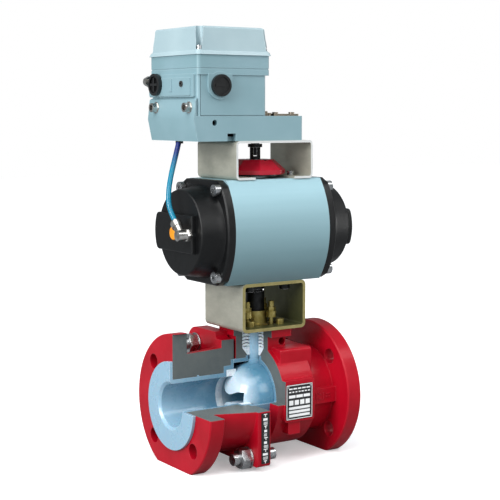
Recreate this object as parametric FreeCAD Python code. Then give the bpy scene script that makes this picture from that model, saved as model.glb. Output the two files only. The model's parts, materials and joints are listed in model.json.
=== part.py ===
import FreeCAD, Part
import math
import os

V = FreeCAD.Vector
X = V(1, 0, 0)
Y = V(0, 1, 0)
Z = V(0, 0, 1)

# Quarter-turn pneumatic actuator with positioner on a cut-away lined ball valve.
# Millimetres. Origin where the pipe axis crosses the stem axis, X along the pipe,
# Z up the stem, and -Y the side with the cut-away window.

# Valve
FLANGE_R = 82.5
FLANGE_T = 19.0
BOLT_PCD = 125.0
BOLT_HOLE_R = 9.0
FACE_LEFT = -113.0
FACE_RIGHT = 96.0
FOOT_Z = -72.6
RAISED_R = 51.0
RAISED_T = 4.0
BORE_R = 25.0
LINER_R = 30.0
BALL_R = 40.0
CAVITY_R = 40.5
SHELL_R = 45.0
SEAT_R = 33.0
SEAT_IN = 27.0
SEAT_OUT = 40.0
SEAT_WALL_R = 38.0
SEAT_GAP = 0.1
ANCHOR_X = 79.0
JOINT_X = -30.0
JOINT_GAP = 2.0
JOINT_LEFT = -47.0
JOINT_RIGHT = -8.0
JOINT_HALF_Y = 77.0
JOINT_TOP = 77.0
JOINT_BOTTOM = -66.0
STUD_YZ = 57.5
STUD_R = 7.0
STUD_NUT_AF = 22.0
STUD_NUT_T = 12.0
NECK_R = 58.0
BODY_R = 62.0
BODY_END = 44.0
OUTLET_X = BODY_END + 7
JOINT_CORNER_R = 4.0
RIGHT_NECK_R = 52.0
CUT_Z = -2.0
BONNET_HALF = 27.0
PAD_Z = 72.4
PAD_TOP = 82.4
PAD_HALF_X = 30.0
PAD_HALF_Y = 35.0
STEM_R = 7.5
STEM_TOP = 106.0
PACKING_R = 18.0
PACKING_Z = 57.0
PACKING_PITCH = 4.0
PACKING_COUNT = 5

# Lower bracket and coupling
LOW_X = 44.0
LOW_Y = 41.0
LOW_WALL = 3.75
LOW_TOP = 138.9
VALVE_SCREW_PCD = 60.0
COUPLING_R = 11.25
COUPLING_BOTTOM = 87.0
COUPLING_TOP = 133.4
GLAND_STUD_PCD = 42.4
GLAND_TURN = 30.0

# Actuator
ACT_Z = 198.4
BARREL_X = 65.0
BARREL_HALF_Z = 59.5
BARREL_FLAT_Y = 40.0
BARREL_BULGE_Y = 60.0
CYL_R = 47.5
CAP_PLATE_X = 75.0
CAP_FACE_X = 102.5
CAP_BOSS_X = 108.0
DOME_R = 48.7
DOME_ROOT_R = 53.0
CAP_BOSS_HALF_Z = 21.5
CAP_PLUG_OUT = 4.0
CAP_SCREW_Y = 38.0
CAP_SCREW_Z = 49.0
SPRING_ROOM_R = 42.0
SPRING_ROOM_X = 98.0
PISTON_OUT = 63.0
PISTON_T = 14.0
PISTON_R = 47.42
GEAR_MODULE = 1.5
GEAR_TEETH = 16
PRESSURE_ANGLE = math.radians(20)
PINION_R = 12.5
PITCH_R = GEAR_MODULE * GEAR_TEETH / 2
RACK_PITCH = math.pi * GEAR_MODULE
STROKE = PITCH_R * math.pi / 2
SPRING_R = 18.0
SPRING_WIRE_R = 2.5
SPRING_TURNS = 4
PORT_Y = -30.0
PORT_R = 3.05

# Upper bracket and indicator
UP_X = 53.0
UP_Y = 42.0
UP_WALL = 2.6
UP_BOTTOM = ACT_Z + BARREL_HALF_Z
UP_TOP = 301.9
UP_GAP = 27.0
TOP_HOLE_X = 40.0
TOP_HOLE_Y = 15.0

# Positioner
BASE_LEFT = -107.0
BASE_RIGHT = 40.0
SIDE_FRONT = -40.0
SIDE_REAR = 64.0
HOUSE_LEFT = -102.0
HOUSE_RIGHT = -11.0
BASE_TOP = 329.9
HOUSE_TOP = 375.4
BAND_TOP = 397.4
LIP_TOP = 401.4
LID_TOP = 428.4
WALL = 4.0
LID_MIDDLE_X = (HOUSE_LEFT + HOUSE_RIGHT) / 2
LID_MIDDLE_Y = (SIDE_FRONT + SIDE_REAR) / 2
REAR_X = -95.0
REAR_Z = 369.8
AIR_PORT_Z = 339.4
AIR_PORT_YS = (46, -28)


def box(x0, x1, y0, y1, z0, z1):
    return Part.makeBox(x1 - x0, y1 - y0, z1 - z0, V(x0, y0, z0))


def rod(radius, start, direction, length):
    return Part.makeCylinder(radius, length, start, direction)


def rod_x(radius, x0, x1, y=0.0, z=0.0):
    return Part.makeCylinder(radius, x1 - x0, V(x0, y, z), X)


def rod_y(radius, y0, y1, x=0.0, z=0.0):
    return Part.makeCylinder(radius, y1 - y0, V(x, y0, z), Y)


def rod_z(radius, z0, z1, x=0.0, y=0.0):
    return Part.makeCylinder(radius, z1 - z0, V(x, y, z0), Z)


def cone_x(r0, r1, x0, x1, y=0.0, z=0.0):
    return Part.makeCone(r0, r1, x1 - x0, V(x0, y, z), X)


def join(first, *others):
    return first.fuse(list(others)).removeSplitter()


def less(shape, *tools):
    return shape.cut(list(tools)).removeSplitter()


def group(solids):
    return Part.makeCompound(solids)


def edges_along(shape, direction):
    picked = []
    for edge in shape.Edges:
        if isinstance(edge.Curve, Part.Line):
            run = edge.Vertexes[-1].Point.sub(edge.Vertexes[0].Point)
            if run.cross(direction).Length < 1e-6:
                picked.append(edge)
    return picked


def soften(shape, radius, direction):
    return shape.makeFillet(radius, edges_along(shape, direction))


def polygon(points):
    return Part.Face(Part.makePolygon(points + [points[0]]))


def turned(points, start=V(0, 0, 0), axis=Z):
    return polygon(points).revolve(start, axis, 360)


def hexagon(across_flats, centre, direction, length):
    corner_r = across_flats / math.sqrt(3)
    turn = FreeCAD.Rotation(Z, direction)
    corners = []
    for k in range(6):
        a = math.radians(60 * k + 30)
        corners.append(centre + turn.multVec(V(corner_r * math.cos(a), corner_r * math.sin(a), 0)))
    return polygon(corners).extrude(V(direction).normalize() * length)


def cap_screw(radius, head, seat, direction, shank):
    """Socket head screw: seat is the middle of the head's underside, direction points to the tip."""
    d = V(direction).normalize()
    head_t = head * 1.15
    top = seat - d * head_t
    body = join(rod(head, top, d, head_t), rod(radius, seat, d, shank))
    return less(body, hexagon(head * 0.95, top, d, head_t * 0.6))


def corners(half_x, half_y):
    return [(sx * half_x, sy * half_y) for sx in (-1, 1) for sy in (-1, 1)]


def arc_path(points):
    """Straight runs joined by tangent arcs, each as large as its two runs allow, and the arcs' radii."""
    edges = []
    radii = []
    last = points[0]
    for a, b, c in zip(points, points[1:], points[2:]):
        before = V(a - b)
        after = V(c - b)
        short = min(before.Length, after.Length)
        before.normalize()
        after.normalize()
        half = (math.pi - before.getAngle(after)) / 2
        trim = 0.45 * short
        radius = trim / math.tan(half)
        radii.append(round(radius, 1))
        inward = V(before + after).normalize()
        middle = b + inward * (radius / math.cos(half) - radius)
        edges.append(Part.LineSegment(last, b + before * trim).toShape())
        edges.append(Part.Arc(b + before * trim, middle, b + after * trim).toShape())
        last = b + after * trim
    edges.append(Part.LineSegment(last, points[-1]).toShape())
    return Part.Wire(edges), radii


def tube_along(points, radius):
    path, radii = arc_path(points)
    first = V(points[1] - points[0]).normalize()
    section = Part.Wire(Part.Circle(points[0], first, radius).toShape())
    tube = path.makePipeShell([section], True, True)
    ratio = tube.Volume / (math.pi * radius ** 2 * path.Length)
    print("arc radii", min(radii), "to", max(radii), "volume over section times length", round(ratio, 4))
    return tube


# ---------------------------------------------------------------- valve

def window():
    """The eighth that is cut away to show the ball: left, front and above the pipe axis."""
    return box(-130, 0, -95, 0, CUT_Z, PAD_TOP)


def flange(face, inner):
    low = min(face, inner)
    high = max(face, inner)
    disc = rod_x(FLANGE_R, low, high)
    disc = disc.makeChamfer(1.2, [e for e in disc.Edges if isinstance(e.Curve, Part.Circle)])
    disc = less(disc, box(low - 1, high + 1, -90, 90, -95, FOOT_Z))
    holes = []
    for k in range(4):
        a = math.radians(45 + 90 * k)
        holes.append(rod_x(BOLT_HOLE_R, low - 1, high + 1,
                           BOLT_PCD / 2 * math.cos(a), BOLT_PCD / 2 * math.sin(a)))
    return less(disc, *holes)


def joint_plate(x0, x1):
    plate = box(x0, x1, -JOINT_HALF_Y, JOINT_HALF_Y, JOINT_BOTTOM, JOINT_TOP)
    plate = plate.makeFillet(JOINT_HALF_Y - STUD_YZ, [e for e in edges_along(plate, X) if e.CenterOfMass.z > 0])
    plate = plate.makeFillet(JOINT_CORNER_R, [e for e in edges_along(plate, X) if e.CenterOfMass.z < JOINT_BOTTOM + 1])
    return less(plate, soften(box(x0 - 1, x1 + 1, -37, 14, 69, 90), 5, X))


def stud_places():
    return [(STUD_YZ, STUD_YZ), (STUD_YZ, -STUD_YZ), (-STUD_YZ, -STUD_YZ)]


def tail_liner_outer():
    return join(rod_x(LINER_R, FACE_LEFT, JOINT_X),
                rod_x(RAISED_R, FACE_LEFT - RAISED_T, FACE_LEFT),
                rod_x(LINER_R + 1.6, -ANCHOR_X - 1.5, -ANCHOR_X + 1.5),
                rod_x(SEAT_WALL_R, -SEAT_OUT - 4, JOINT_X),
                rod_x(SHELL_R, JOINT_X - 4, JOINT_X))


def body_liner_outer():
    shell = less(Part.makeSphere(SHELL_R), box(-60, 0, -60, 60, -60, 60))
    return join(shell,
                rod_x(SHELL_R, JOINT_X, 0),
                rod_x(LINER_R, 20, FACE_RIGHT),
                rod_x(RAISED_R, FACE_RIGHT, FACE_RIGHT + RAISED_T),
                rod_x(LINER_R + 1.6, ANCHOR_X - 10, ANCHOR_X - 7),
                rod_x(SEAT_WALL_R, 20, SEAT_OUT + 4),
                rod_z(13, 20, 47.5))


def rounded_mouth(face, inward):
    """The eased edge where the bore of the liner meets its raised face."""
    return Part.makeCone(BORE_R + 3, BORE_R, 3, V(face, 0, 0), inward)


def tail_liner():
    bore = rod_x(BORE_R, FACE_LEFT - RAISED_T - 1, JOINT_X + 1)
    mouth = rounded_mouth(FACE_LEFT - RAISED_T, X)
    pocket = rod_x(SEAT_R, -SEAT_OUT, JOINT_X + 1)
    return less(tail_liner_outer(), bore, mouth, pocket, window())


def body_liner():
    bore = rod_x(BORE_R, 0, FACE_RIGHT + RAISED_T + 1)
    mouth = rounded_mouth(FACE_RIGHT + RAISED_T, -X)
    pocket = rod_x(SEAT_R, 0, SEAT_OUT)
    cavity = rod_x(CAVITY_R, JOINT_X - 1, 0)
    throat = rod_z(9.5, 0, 60)
    return less(body_liner_outer(), bore, mouth, pocket, cavity,
                Part.makeSphere(CAVITY_R), throat, window())


def tail_body():
    flare = Part.makeLoft([Part.Wire(Part.Circle(V(-90, 0, 0), X, NECK_R).toShape()),
                           Part.Wire(Part.Ellipse(V(-46, 74, 0), V(-46, 0, 60), V(-46, 0, 0)).toShape())],
                          True, True)
    body = join(flange(FACE_LEFT, FACE_LEFT + FLANGE_T),
                rod_x(NECK_R, FACE_LEFT + FLANGE_T, JOINT_X - 1),
                flare,
                joint_plate(JOINT_LEFT, JOINT_X))
    tools = [rod_x(14.5, -95 + 6, JOINT_LEFT, y, z) for y, z in stud_places()]
    tools += [rod_x(STUD_R, JOINT_LEFT - 1, 0, y, z) for y, z in stud_places()]
    return less(body, tail_liner_outer(), rod_x(BORE_R, -120, 0), window(), *tools)


def whole_body():
    """The casting with the outlet flange, before it is divided at the foot of the cone."""
    left = JOINT_X + JOINT_GAP
    joint = joint_plate(left, JOINT_RIGHT)
    low_edge = [e for e in joint.Edges
                if abs(e.CenterOfMass.z - JOINT_BOTTOM) < 0.01 and abs(e.CenterOfMass.x - JOINT_RIGHT) < 0.01]
    joint = joint.makeChamfer(5, low_edge)
    shoulder = soften(box(6, 50, -45, 45, 20, 59), 4, X)
    bonnet = soften(box(-BONNET_HALF, PAD_HALF_X - 2, -BONNET_HALF, BONNET_HALF, 30, PAD_Z + 1), 6, Z)
    pad = soften(box(-PAD_HALF_X, PAD_HALF_X, -PAD_HALF_Y, PAD_HALF_Y, PAD_Z, PAD_TOP), 4, Z)
    plate_boss = soften(box(-1, 41, -64, -40, -23, 26), 3, Y)
    square_boss = soften(box(5, 22, -62, -40, -38, -20), 2, Y)
    side_rib = soften(box(38, FACE_RIGHT - FLANGE_T + 1, -58, -40, -8, 10), 1.5, Y)
    body = join(joint, rod_x(BODY_R, JOINT_RIGHT - 1, BODY_END),
                cone_x(BODY_R, RIGHT_NECK_R, BODY_END, OUTLET_X),
                rod_x(RIGHT_NECK_R, BODY_END, FACE_RIGHT - FLANGE_T),
                flange(FACE_RIGHT, FACE_RIGHT - FLANGE_T),
                shoulder, bonnet, pad, plate_boss, square_boss, side_rib)
    packing_room = rod_z(PACKING_R, PACKING_Z, PAD_TOP + 1)
    packing_cone = Part.makeCone(10.5, PACKING_R, PACKING_Z - 47.5, V(0, 0, 47.5), Z)
    tools = [body_liner_outer(), Part.makeSphere(SHELL_R - 1), rod_x(BORE_R, 0, 110), rod_x(38, -60, 0),
             rod_z(10, 0, 60), packing_room, packing_cone, window(),
             rod_y(4.5, -BONNET_HALF - 12, -BONNET_HALF + 14, 20, 65.5)]
    tools += [rod_x(STUD_R, left - 1, JOINT_RIGHT - 4, y, z) for y, z in stud_places()]
    tools += [rod_z(3, PAD_TOP - 9, PAD_TOP + 1, x, y) for x, y in valve_screw_places()]
    tools += [rod_z(2.5, PAD_TOP - 9, PAD_TOP + 1, x, y) for x, y in gland_stud_places()]
    return less(body, *tools)


def main_body():
    return less(whole_body(), box(OUTLET_X, 130, -95, 95, -95, 95))


def outlet_neck():
    return whole_body().common(box(OUTLET_X, 130, -95, 95, -95, 95))


def port_contour():
    """Control contour of the ball: a slot that widens through a neck into the full bore."""
    slot_end = -24.0
    upper = [V(0, -17, 9.0), V(0, -12, 7.2), V(0, -6.4, 5.0), V(0, 2.5, 6.6), V(0, 9.5, 12.0),
             V(0, 10.5, 17.5), V(0, 4.0, 24.7)]
    lower = [V(0, p.y, -p.z) for p in reversed(upper)]
    top_curve = Part.BSplineCurve()
    top_curve.interpolate(upper)
    low_curve = Part.BSplineCurve()
    low_curve.interpolate(lower)
    arc = Part.Arc(upper[-1], V(0, BORE_R - 0.1, 0), lower[0])
    edges = [Part.LineSegment(V(0, slot_end, 9.0), upper[0]).toShape(),
             top_curve.toShape(), arc.toShape(), low_curve.toShape(),
             Part.LineSegment(lower[-1], V(0, slot_end, -9.0)).toShape(),
             Part.LineSegment(V(0, slot_end, -9.0), V(0, slot_end, 9.0)).toShape()]
    return Part.Face(Part.Wire(edges))


def ball_and_stem():
    contour = port_contour()
    contour.translate(V(-BALL_R - 5, 0, 0))
    port = contour.extrude(V(BALL_R - 15, 0, 0))
    root = Part.makeCone(15, STEM_R, 9, V(0, 0, 34.5), Z)
    root_room = rod_z(9, 30, 60)
    stem = join(rod_z(STEM_R, 30, STEM_TOP - 18), root.common(root_room))
    flats = less(rod_z(STEM_R, STEM_TOP - 18, STEM_TOP),
                 box(-9, 9, 5.5, 9, STEM_TOP - 18, STEM_TOP), box(-9, 9, -9, -5.5, STEM_TOP - 18, STEM_TOP))
    ball = join(Part.makeSphere(BALL_R), stem, flats)
    return less(ball, rod_x(BORE_R, -21, BALL_R + 2), port)


def seat_ring(side):
    ring = less(rod_x(SEAT_R, SEAT_IN, SEAT_OUT), rod_x(BORE_R, SEAT_IN - 1, SEAT_OUT + 1),
                Part.makeSphere(BALL_R + SEAT_GAP))
    if side > 0:
        return ring
    return less(ring.mirror(V(0, 0, 0), X), window())


def packing_base_ring():
    low = 48.0
    return less(turned([V(STEM_R + 0.1, 0, low), V(10.6, 0, low), V(PACKING_R, 0, PACKING_Z),
                        V(PACKING_R, 0, PACKING_Z + 1), V(STEM_R + 0.1, 0, PACKING_Z + 1)]), window())


def packing_rings():
    rings = []
    middle = (STEM_R + PACKING_R) / 2
    inner = STEM_R + 0.1
    for k in range(PACKING_COUNT):
        low = PACKING_Z + 1.2 + k * PACKING_PITCH
        section = [V(inner, 0, low), V(middle, 0, low + 1.2), V(PACKING_R, 0, low),
                   V(PACKING_R, 0, low + 2.7), V(middle, 0, low + 3.9), V(inner, 0, low + 2.7)]
        rings.append(less(turned(section), window()))
    return group(rings)


def gland_stud_places():
    places = []
    for k in range(4):
        a = math.radians(GLAND_TURN + 90 * k)
        places.append((GLAND_STUD_PCD / 2 * math.cos(a), GLAND_STUD_PCD / 2 * math.sin(a)))
    return places


def gland_follower():
    floor = PACKING_Z + 1.2 + PACKING_COUNT * PACKING_PITCH + 0.2
    bush = less(rod_z(PACKING_R - 0.3, floor, 86.5), rod_z(STEM_R + 0.3, floor - 1, 90))
    sleeve = less(rod_z(14.6, 86.5, 95), rod_z(COUPLING_R + 0.4, 86, 96))
    plate = rod_z(14.6, 94.5, 101.5)
    for x, y in gland_stud_places():
        plate = plate.fuse(rod_z(6, 94.5, 101.5, x, y))
    body = join(bush, sleeve, plate)
    studs = [rod_z(2.7, 80, 110, x, y) for x, y in gland_stud_places()]
    return less(body, rod_z(COUPLING_R + 0.4, 86.6, 110), window(), *studs)


def gland_studs():
    return group([less(rod_z(2.5, PAD_TOP - 8, 112, x, y), window()) for x, y in gland_stud_places()])


def gland_nuts():
    nuts = []
    for x, y in gland_stud_places():
        nuts.append(less(hexagon(9, V(x, y, 101.5), Z, 5), rod_z(2.5, 101, 108, x, y)))
        cap = less(rod_z(3.6, 106.8, 113.4, x, y), rod_z(2.5, 106, 112, x, y))
        nuts.append(cap)
    return group(nuts)


def joint_studs():
    return group([rod_x(STUD_R - 0.2, -69, JOINT_RIGHT - 5, y, z) for y, z in stud_places()])


def joint_nuts():
    nuts = []
    for y, z in stud_places():
        washer = less(rod_x(12.6, JOINT_LEFT - 2, JOINT_LEFT, y, z), rod_x(STUD_R, -60, -40, y, z))
        start = JOINT_LEFT - 2 - STUD_NUT_T
        nut = hexagon(STUD_NUT_AF, V(start, y, z), X, STUD_NUT_T)
        crown = join(cone_x(10.6, 13.2, start, start + 1.6, y, z),
                     rod_x(13.2, start + 1.6, start + STUD_NUT_T, y, z))
        nuts += [washer, less(nut.common(crown), rod_x(STUD_R, -70, -40, y, z))]
    return group(nuts)


def name_plate():
    return soften(box(0.5, 37.5, -64.9, -64, -20, 21), 2, Y)


def plate_rivets():
    return group([rod_y(1.1, -65.5, -64.9, x, z) for x in (3.2, 34.8) for z in (-17.4, 18.4)])


def label_strip():
    return box(-42.5, -31.5, -JOINT_HALF_Y - 0.7, -JOINT_HALF_Y, JOINT_BOTTOM + JOINT_CORNER_R + 0.3, CUT_Z - 1.5)


# ---------------------------------------------------------------- lower bracket

def valve_screw_places():
    reach = VALVE_SCREW_PCD / 2 * math.sin(math.radians(45))
    return corners(reach, reach)


def actuator_screw_places():
    reach = 35 * math.sin(math.radians(45))
    return corners(reach, reach)


def lower_bracket():
    outer = soften(box(-LOW_X, LOW_X, -LOW_Y, LOW_Y, PAD_TOP, LOW_TOP), 6, Y)
    hollow = soften(box(-LOW_X + LOW_WALL, LOW_X - LOW_WALL, -LOW_Y - 1, LOW_Y + 1,
                        PAD_TOP + LOW_WALL, LOW_TOP - LOW_WALL), 2.5, Y)
    tools = [rod_z(3.3, PAD_TOP - 1, PAD_TOP + 6, x, y) for x, y in valve_screw_places()]
    tools += [rod_z(4.5, LOW_TOP - 6, LOW_TOP + 1, x, y) for x, y in actuator_screw_places()]
    return less(outer, hollow, rod_z(24, PAD_TOP - 1, PAD_TOP + 6), rod_z(17, LOW_TOP - 6, LOW_TOP + 1), *tools)


def bracket_valve_screws():
    screws = []
    for x, y in valve_screw_places():
        screws.append(less(cap_screw(3, 5, V(x, y, PAD_TOP + LOW_WALL), -Z, 12), window()))
    return group(screws)


def bracket_actuator_screws():
    return group([cap_screw(4, 6.5, V(x, y, LOW_TOP - LOW_WALL), Z, 14) for x, y in actuator_screw_places()])


def drive_coupling():
    body = join(rod_z(COUPLING_R, COUPLING_BOTTOM, 124), rod_z(9.2, 124, 127), rod_z(COUPLING_R, 127, COUPLING_TOP),
                box(-7, 7, -7, 7, COUPLING_TOP, 149))
    socket = less(rod_z(STEM_R + 0.05, COUPLING_BOTTOM - 1, STEM_TOP + 0.5),
                  box(-9, 9, 5.55, 9, STEM_TOP - 18, STEM_TOP + 1), box(-9, 9, -9, -5.55, STEM_TOP - 18, STEM_TOP + 1))
    return less(body, socket, rod_x(2, -12, 0, 0, 98))


# ---------------------------------------------------------------- actuator

def barrel_outline(x):
    top = ACT_Z + BARREL_HALF_Z
    low = ACT_Z - BARREL_HALF_Z
    flat = BARREL_FLAT_Y
    return Part.Face(Part.Wire([
        Part.LineSegment(V(x, -flat, top), V(x, flat, top)).toShape(),
        Part.Arc(V(x, flat, top), V(x, BARREL_BULGE_Y, ACT_Z), V(x, flat, low)).toShape(),
        Part.LineSegment(V(x, flat, low), V(x, -flat, low)).toShape(),
        Part.Arc(V(x, -flat, low), V(x, -BARREL_BULGE_Y, ACT_Z), V(x, -flat, top)).toShape()]))


def cap_screw_places():
    return [(y, ACT_Z + dz) for y, dz in corners(CAP_SCREW_Y, CAP_SCREW_Z)]


def barrel():
    body = barrel_outline(-BARREL_X).extrude(V(2 * BARREL_X, 0, 0))
    tools = [rod_x(CYL_R, -BARREL_X - 1, BARREL_X + 1, 0, ACT_Z),
             rod_z(16, LOW_TOP - 1, UP_BOTTOM + 1)]
    for y, z in cap_screw_places():
        tools += [rod_x(4, -BARREL_X - 1, -BARREL_X + 24, y, z), rod_x(4, BARREL_X - 24, BARREL_X + 1, y, z)]
    tools += [rod_z(4, LOW_TOP - 1, LOW_TOP + 11, x, y) for x, y in actuator_screw_places()]
    tools += [rod_z(2.5, UP_BOTTOM - 9, UP_BOTTOM + 1, x, y) for x, y in corners(TOP_HOLE_X, TOP_HOLE_Y)]
    return less(body, *tools)


def cap_right():
    plate = barrel_outline(BARREL_X).extrude(V(CAP_PLATE_X - BARREL_X, 0, 0))
    plate = plate.makeChamfer(7, edges_along(plate, X))
    rim = [e for e in plate.Edges if abs(e.CenterOfMass.x - CAP_PLATE_X) < 0.01]
    plate = plate.makeChamfer(1.5, rim)
    dome = cone_x(DOME_ROOT_R, DOME_R, CAP_PLATE_X - 1, CAP_FACE_X, 0, ACT_Z)
    root = cone_x(DOME_ROOT_R + 2.2, DOME_ROOT_R - 0.6, CAP_PLATE_X - 1, CAP_PLATE_X + 3, 0, ACT_Z)
    dome = dome.makeFillet(2.5, [e for e in dome.Edges if abs(e.CenterOfMass.x - CAP_FACE_X) < 0.01])
    boss = rod_x(DOME_R - 0.3, CAP_FACE_X - 4, CAP_BOSS_X, 0, ACT_Z).common(
        box(CAP_FACE_X - 4, CAP_BOSS_X, -60, 36, ACT_Z - CAP_BOSS_HALF_Z, ACT_Z + CAP_BOSS_HALF_Z))
    boss = boss.makeFillet(6, [e for e in edges_along(boss, X) if e.CenterOfMass.y < -36])
    boss = boss.makeFillet(1.5, [e for e in boss.Edges if abs(e.CenterOfMass.x - CAP_BOSS_X) < 0.01])
    room = rod_x(SPRING_ROOM_R, BARREL_X - 1, SPRING_ROOM_X, 0, ACT_Z)
    room = room.makeFillet(4, [e for e in room.Edges if abs(e.CenterOfMass.x - SPRING_ROOM_X) < 0.01])
    gasket_groove = less(rod_x(CYL_R + 2.5, BARREL_X - 1, BARREL_X + 1.2, 0, ACT_Z),
                         rod_x(CYL_R - 1, BARREL_X - 2, BARREL_X + 2, 0, ACT_Z))
    tools = [room, gasket_groove, rod_x(5, BARREL_X, CAP_BOSS_X + 1, 0, ACT_Z),
             rod_x(8, CAP_BOSS_X - 1.5, CAP_BOSS_X + 1, 0, ACT_Z)]
    for y, z in cap_screw_places():
        tools += [rod_x(4.4, BARREL_X - 1, CAP_PLATE_X + 1, y, z),
                  rod_x(8, CAP_PLATE_X - 1.2, CAP_PLATE_X + 20, y, z)]
    return less(join(plate, dome, root, boss), *tools)


def cap_left():
    cap = cap_right()
    cap.rotate(V(0, 0, 0), Z, 180)
    return less(cap, rod_x(6, -CAP_BOSS_X - 1, -90, PORT_Y, ACT_Z))


def cap_screws():
    screws = []
    for y, z in cap_screw_places():
        for side in (-1, 1):
            seat = V(side * (CAP_PLATE_X - 1.2), y, z)
            screws.append(cap_screw(3.9, 6.5, seat, V(-side, 0, 0), 28))
    return group(screws)


def cap_gaskets():
    ring = less(rod_x(CYL_R + 2.4, BARREL_X, BARREL_X + 1.1, 0, ACT_Z),
                rod_x(CYL_R - 0.9, BARREL_X - 1, BARREL_X + 2, 0, ACT_Z))
    return group([ring, ring.mirror(V(0, 0, 0), X)])


def tooth_half_angle(radius):
    base = PITCH_R * math.cos(PRESSURE_ANGLE)
    alpha = math.acos(min(1.0, base / radius))
    rolled = math.tan(PRESSURE_ANGLE) - PRESSURE_ANGLE - (math.tan(alpha) - alpha)
    backlash = 0.05 / PITCH_R
    return math.pi / (2 * GEAR_TEETH) - backlash + rolled


def pinion():
    tip = PITCH_R + GEAR_MODULE
    base = PITCH_R * math.cos(PRESSURE_ANGLE) + 0.01
    root = PITCH_R - 1.25 * GEAR_MODULE
    radii = [root] + [base + (tip - base) * k / 5 for k in range(6)]
    outline = []
    for tooth in range(GEAR_TEETH):
        middle = 2 * math.pi * tooth / GEAR_TEETH
        rising = [(r, middle - tooth_half_angle(max(r, base))) for r in radii]
        falling = [(r, middle + tooth_half_angle(max(r, base))) for r in reversed(radii)]
        for r, a in rising + falling:
            outline.append(V(r * math.cos(a), r * math.sin(a), ACT_Z - 12))
    gear = polygon(outline).extrude(V(0, 0, 24))
    low = rod_z(PINION_R, LOW_TOP + 0.6, ACT_Z - 12)
    high = rod_z(PINION_R, ACT_Z + 12, UP_BOTTOM + 2.6)
    stub = rod_z(9, UP_BOTTOM + 2.6, 276)
    groove = less(rod_z(14, UP_BOTTOM + 0.6, UP_BOTTOM + 2.2), rod_z(11.2, UP_BOTTOM, UP_BOTTOM + 3))
    return less(join(low, gear, high, stub), groove, box(-7.05, 7.05, -7.05, 7.05, 130, 150),
                rod_z(3.1, 264, 280))


def pinion_bushes():
    bore = rod_z(PINION_R + 0.05, 130, 270)
    return group([less(rod_z(16, LOW_TOP + 0.6, ACT_Z - CYL_R + 1.2), bore),
                  less(rod_z(16, ACT_Z + CYL_R - 1.2, UP_BOTTOM), bore)])


def pinion_clip():
    ring = less(rod_z(16.5, UP_BOTTOM + 0.7, UP_BOTTOM + 2.1), rod_z(11.3, UP_BOTTOM, UP_BOTTOM + 3))
    return less(ring, box(0, 20, -3, 3, UP_BOTTOM, UP_BOTTOM + 3))


def piston_left():
    tip = PITCH_R - 0.9 * GEAR_MODULE
    root = PITCH_R + 1.27 * GEAR_MODULE
    reach = PISTON_OUT - PISTON_T - STROKE - 0.6
    bar_end = reach - STROKE
    inner = -PISTON_OUT + PISTON_T
    disc = rod_x(PISTON_R, -PISTON_OUT, inner, 0, ACT_Z)
    seal_groove = less(rod_x(PISTON_R + 1, -60, -55.5, 0, ACT_Z), rod_x(43.5, -61, -55, 0, ACT_Z))
    bar = box(inner - 1, bar_end, tip, 30, ACT_Z - 10, ACT_Z + 10)
    gaps = []
    tan = math.tan(PRESSURE_ANGLE)
    for k in range(-6, 3):
        wide = RACK_PITCH / 4 + 0.05 + (PITCH_R - tip + 1) * tan
        slim = RACK_PITCH / 4 + 0.05 - (root - PITCH_R) * tan
        x = k * RACK_PITCH
        low = ACT_Z - 11
        gaps.append(polygon([V(x - wide, tip - 1, low), V(x + wide, tip - 1, low),
                             V(x + slim, root, low), V(x - slim, root, low)]).extrude(V(0, 0, 22)))
    spring_seat = rod_x(SPRING_R + 4, -PISTON_OUT - 1, -PISTON_OUT + 3, 0, ACT_Z)
    rim = rod_x(SPRING_R - 4, -PISTON_OUT - 1, -PISTON_OUT + 3, 0, ACT_Z)
    return less(join(disc, bar), seal_groove, less(spring_seat, rim), *gaps)


def piston_ring_left():
    return less(rod_x(CYL_R - 0.04, -59.9, -55.6, 0, ACT_Z), rod_x(43.6, -61, -55, 0, ACT_Z))


def half_turn(shape):
    """The same piece on the other side: turned half a circle about the pinion axis."""
    copy = shape.copy()
    copy.rotate(V(0, 0, 0), Z, 180)
    return copy


def spring_left():
    """Coil of wire between the cap and the piston, as a tube along tangent arcs, eight to a turn."""
    start = -SPRING_ROOM_X + SPRING_WIRE_R + 0.3
    end = -PISTON_OUT + 3 - SPRING_WIRE_R - 0.3
    reach = SPRING_R / math.cos(math.radians(22.5))
    count = 8 * SPRING_TURNS
    points = []
    for k in range(count + 1):
        a = math.radians(45 * k)
        points.append(V(start + (end - start) * k / count, reach * math.cos(a), ACT_Z + reach * math.sin(a)))
    return tube_along(points, SPRING_WIRE_R)


def stop_screws():
    grub = rod_x(4.8, -106.4, -PISTON_OUT - 0.2, 0, ACT_Z)
    grub = less(grub, hexagon(5, V(-106.4, 0, ACT_Z), X, 5))
    return group([grub, grub.mirror(V(0, 0, 0), X)])


def cap_plugs():
    face = -CAP_BOSS_X - CAP_PLUG_OUT
    plug = rod_x(7.9, face, -CAP_BOSS_X + 1.5, 0, ACT_Z)
    plug = plug.makeFillet(1.5, [e for e in plug.Edges if abs(e.CenterOfMass.x - face) < 0.01])
    return group([plug, plug.mirror(V(0, 0, 0), X)])


ELBOW_X = -117.5
ELBOW_TILT = math.radians(45)
ELBOW_ARM = 12.5
ELBOW_WAY = V(0, math.sin(ELBOW_TILT), math.cos(ELBOW_TILT))


def elbow_centre():
    return V(ELBOW_X, PORT_Y, ACT_Z)


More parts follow.
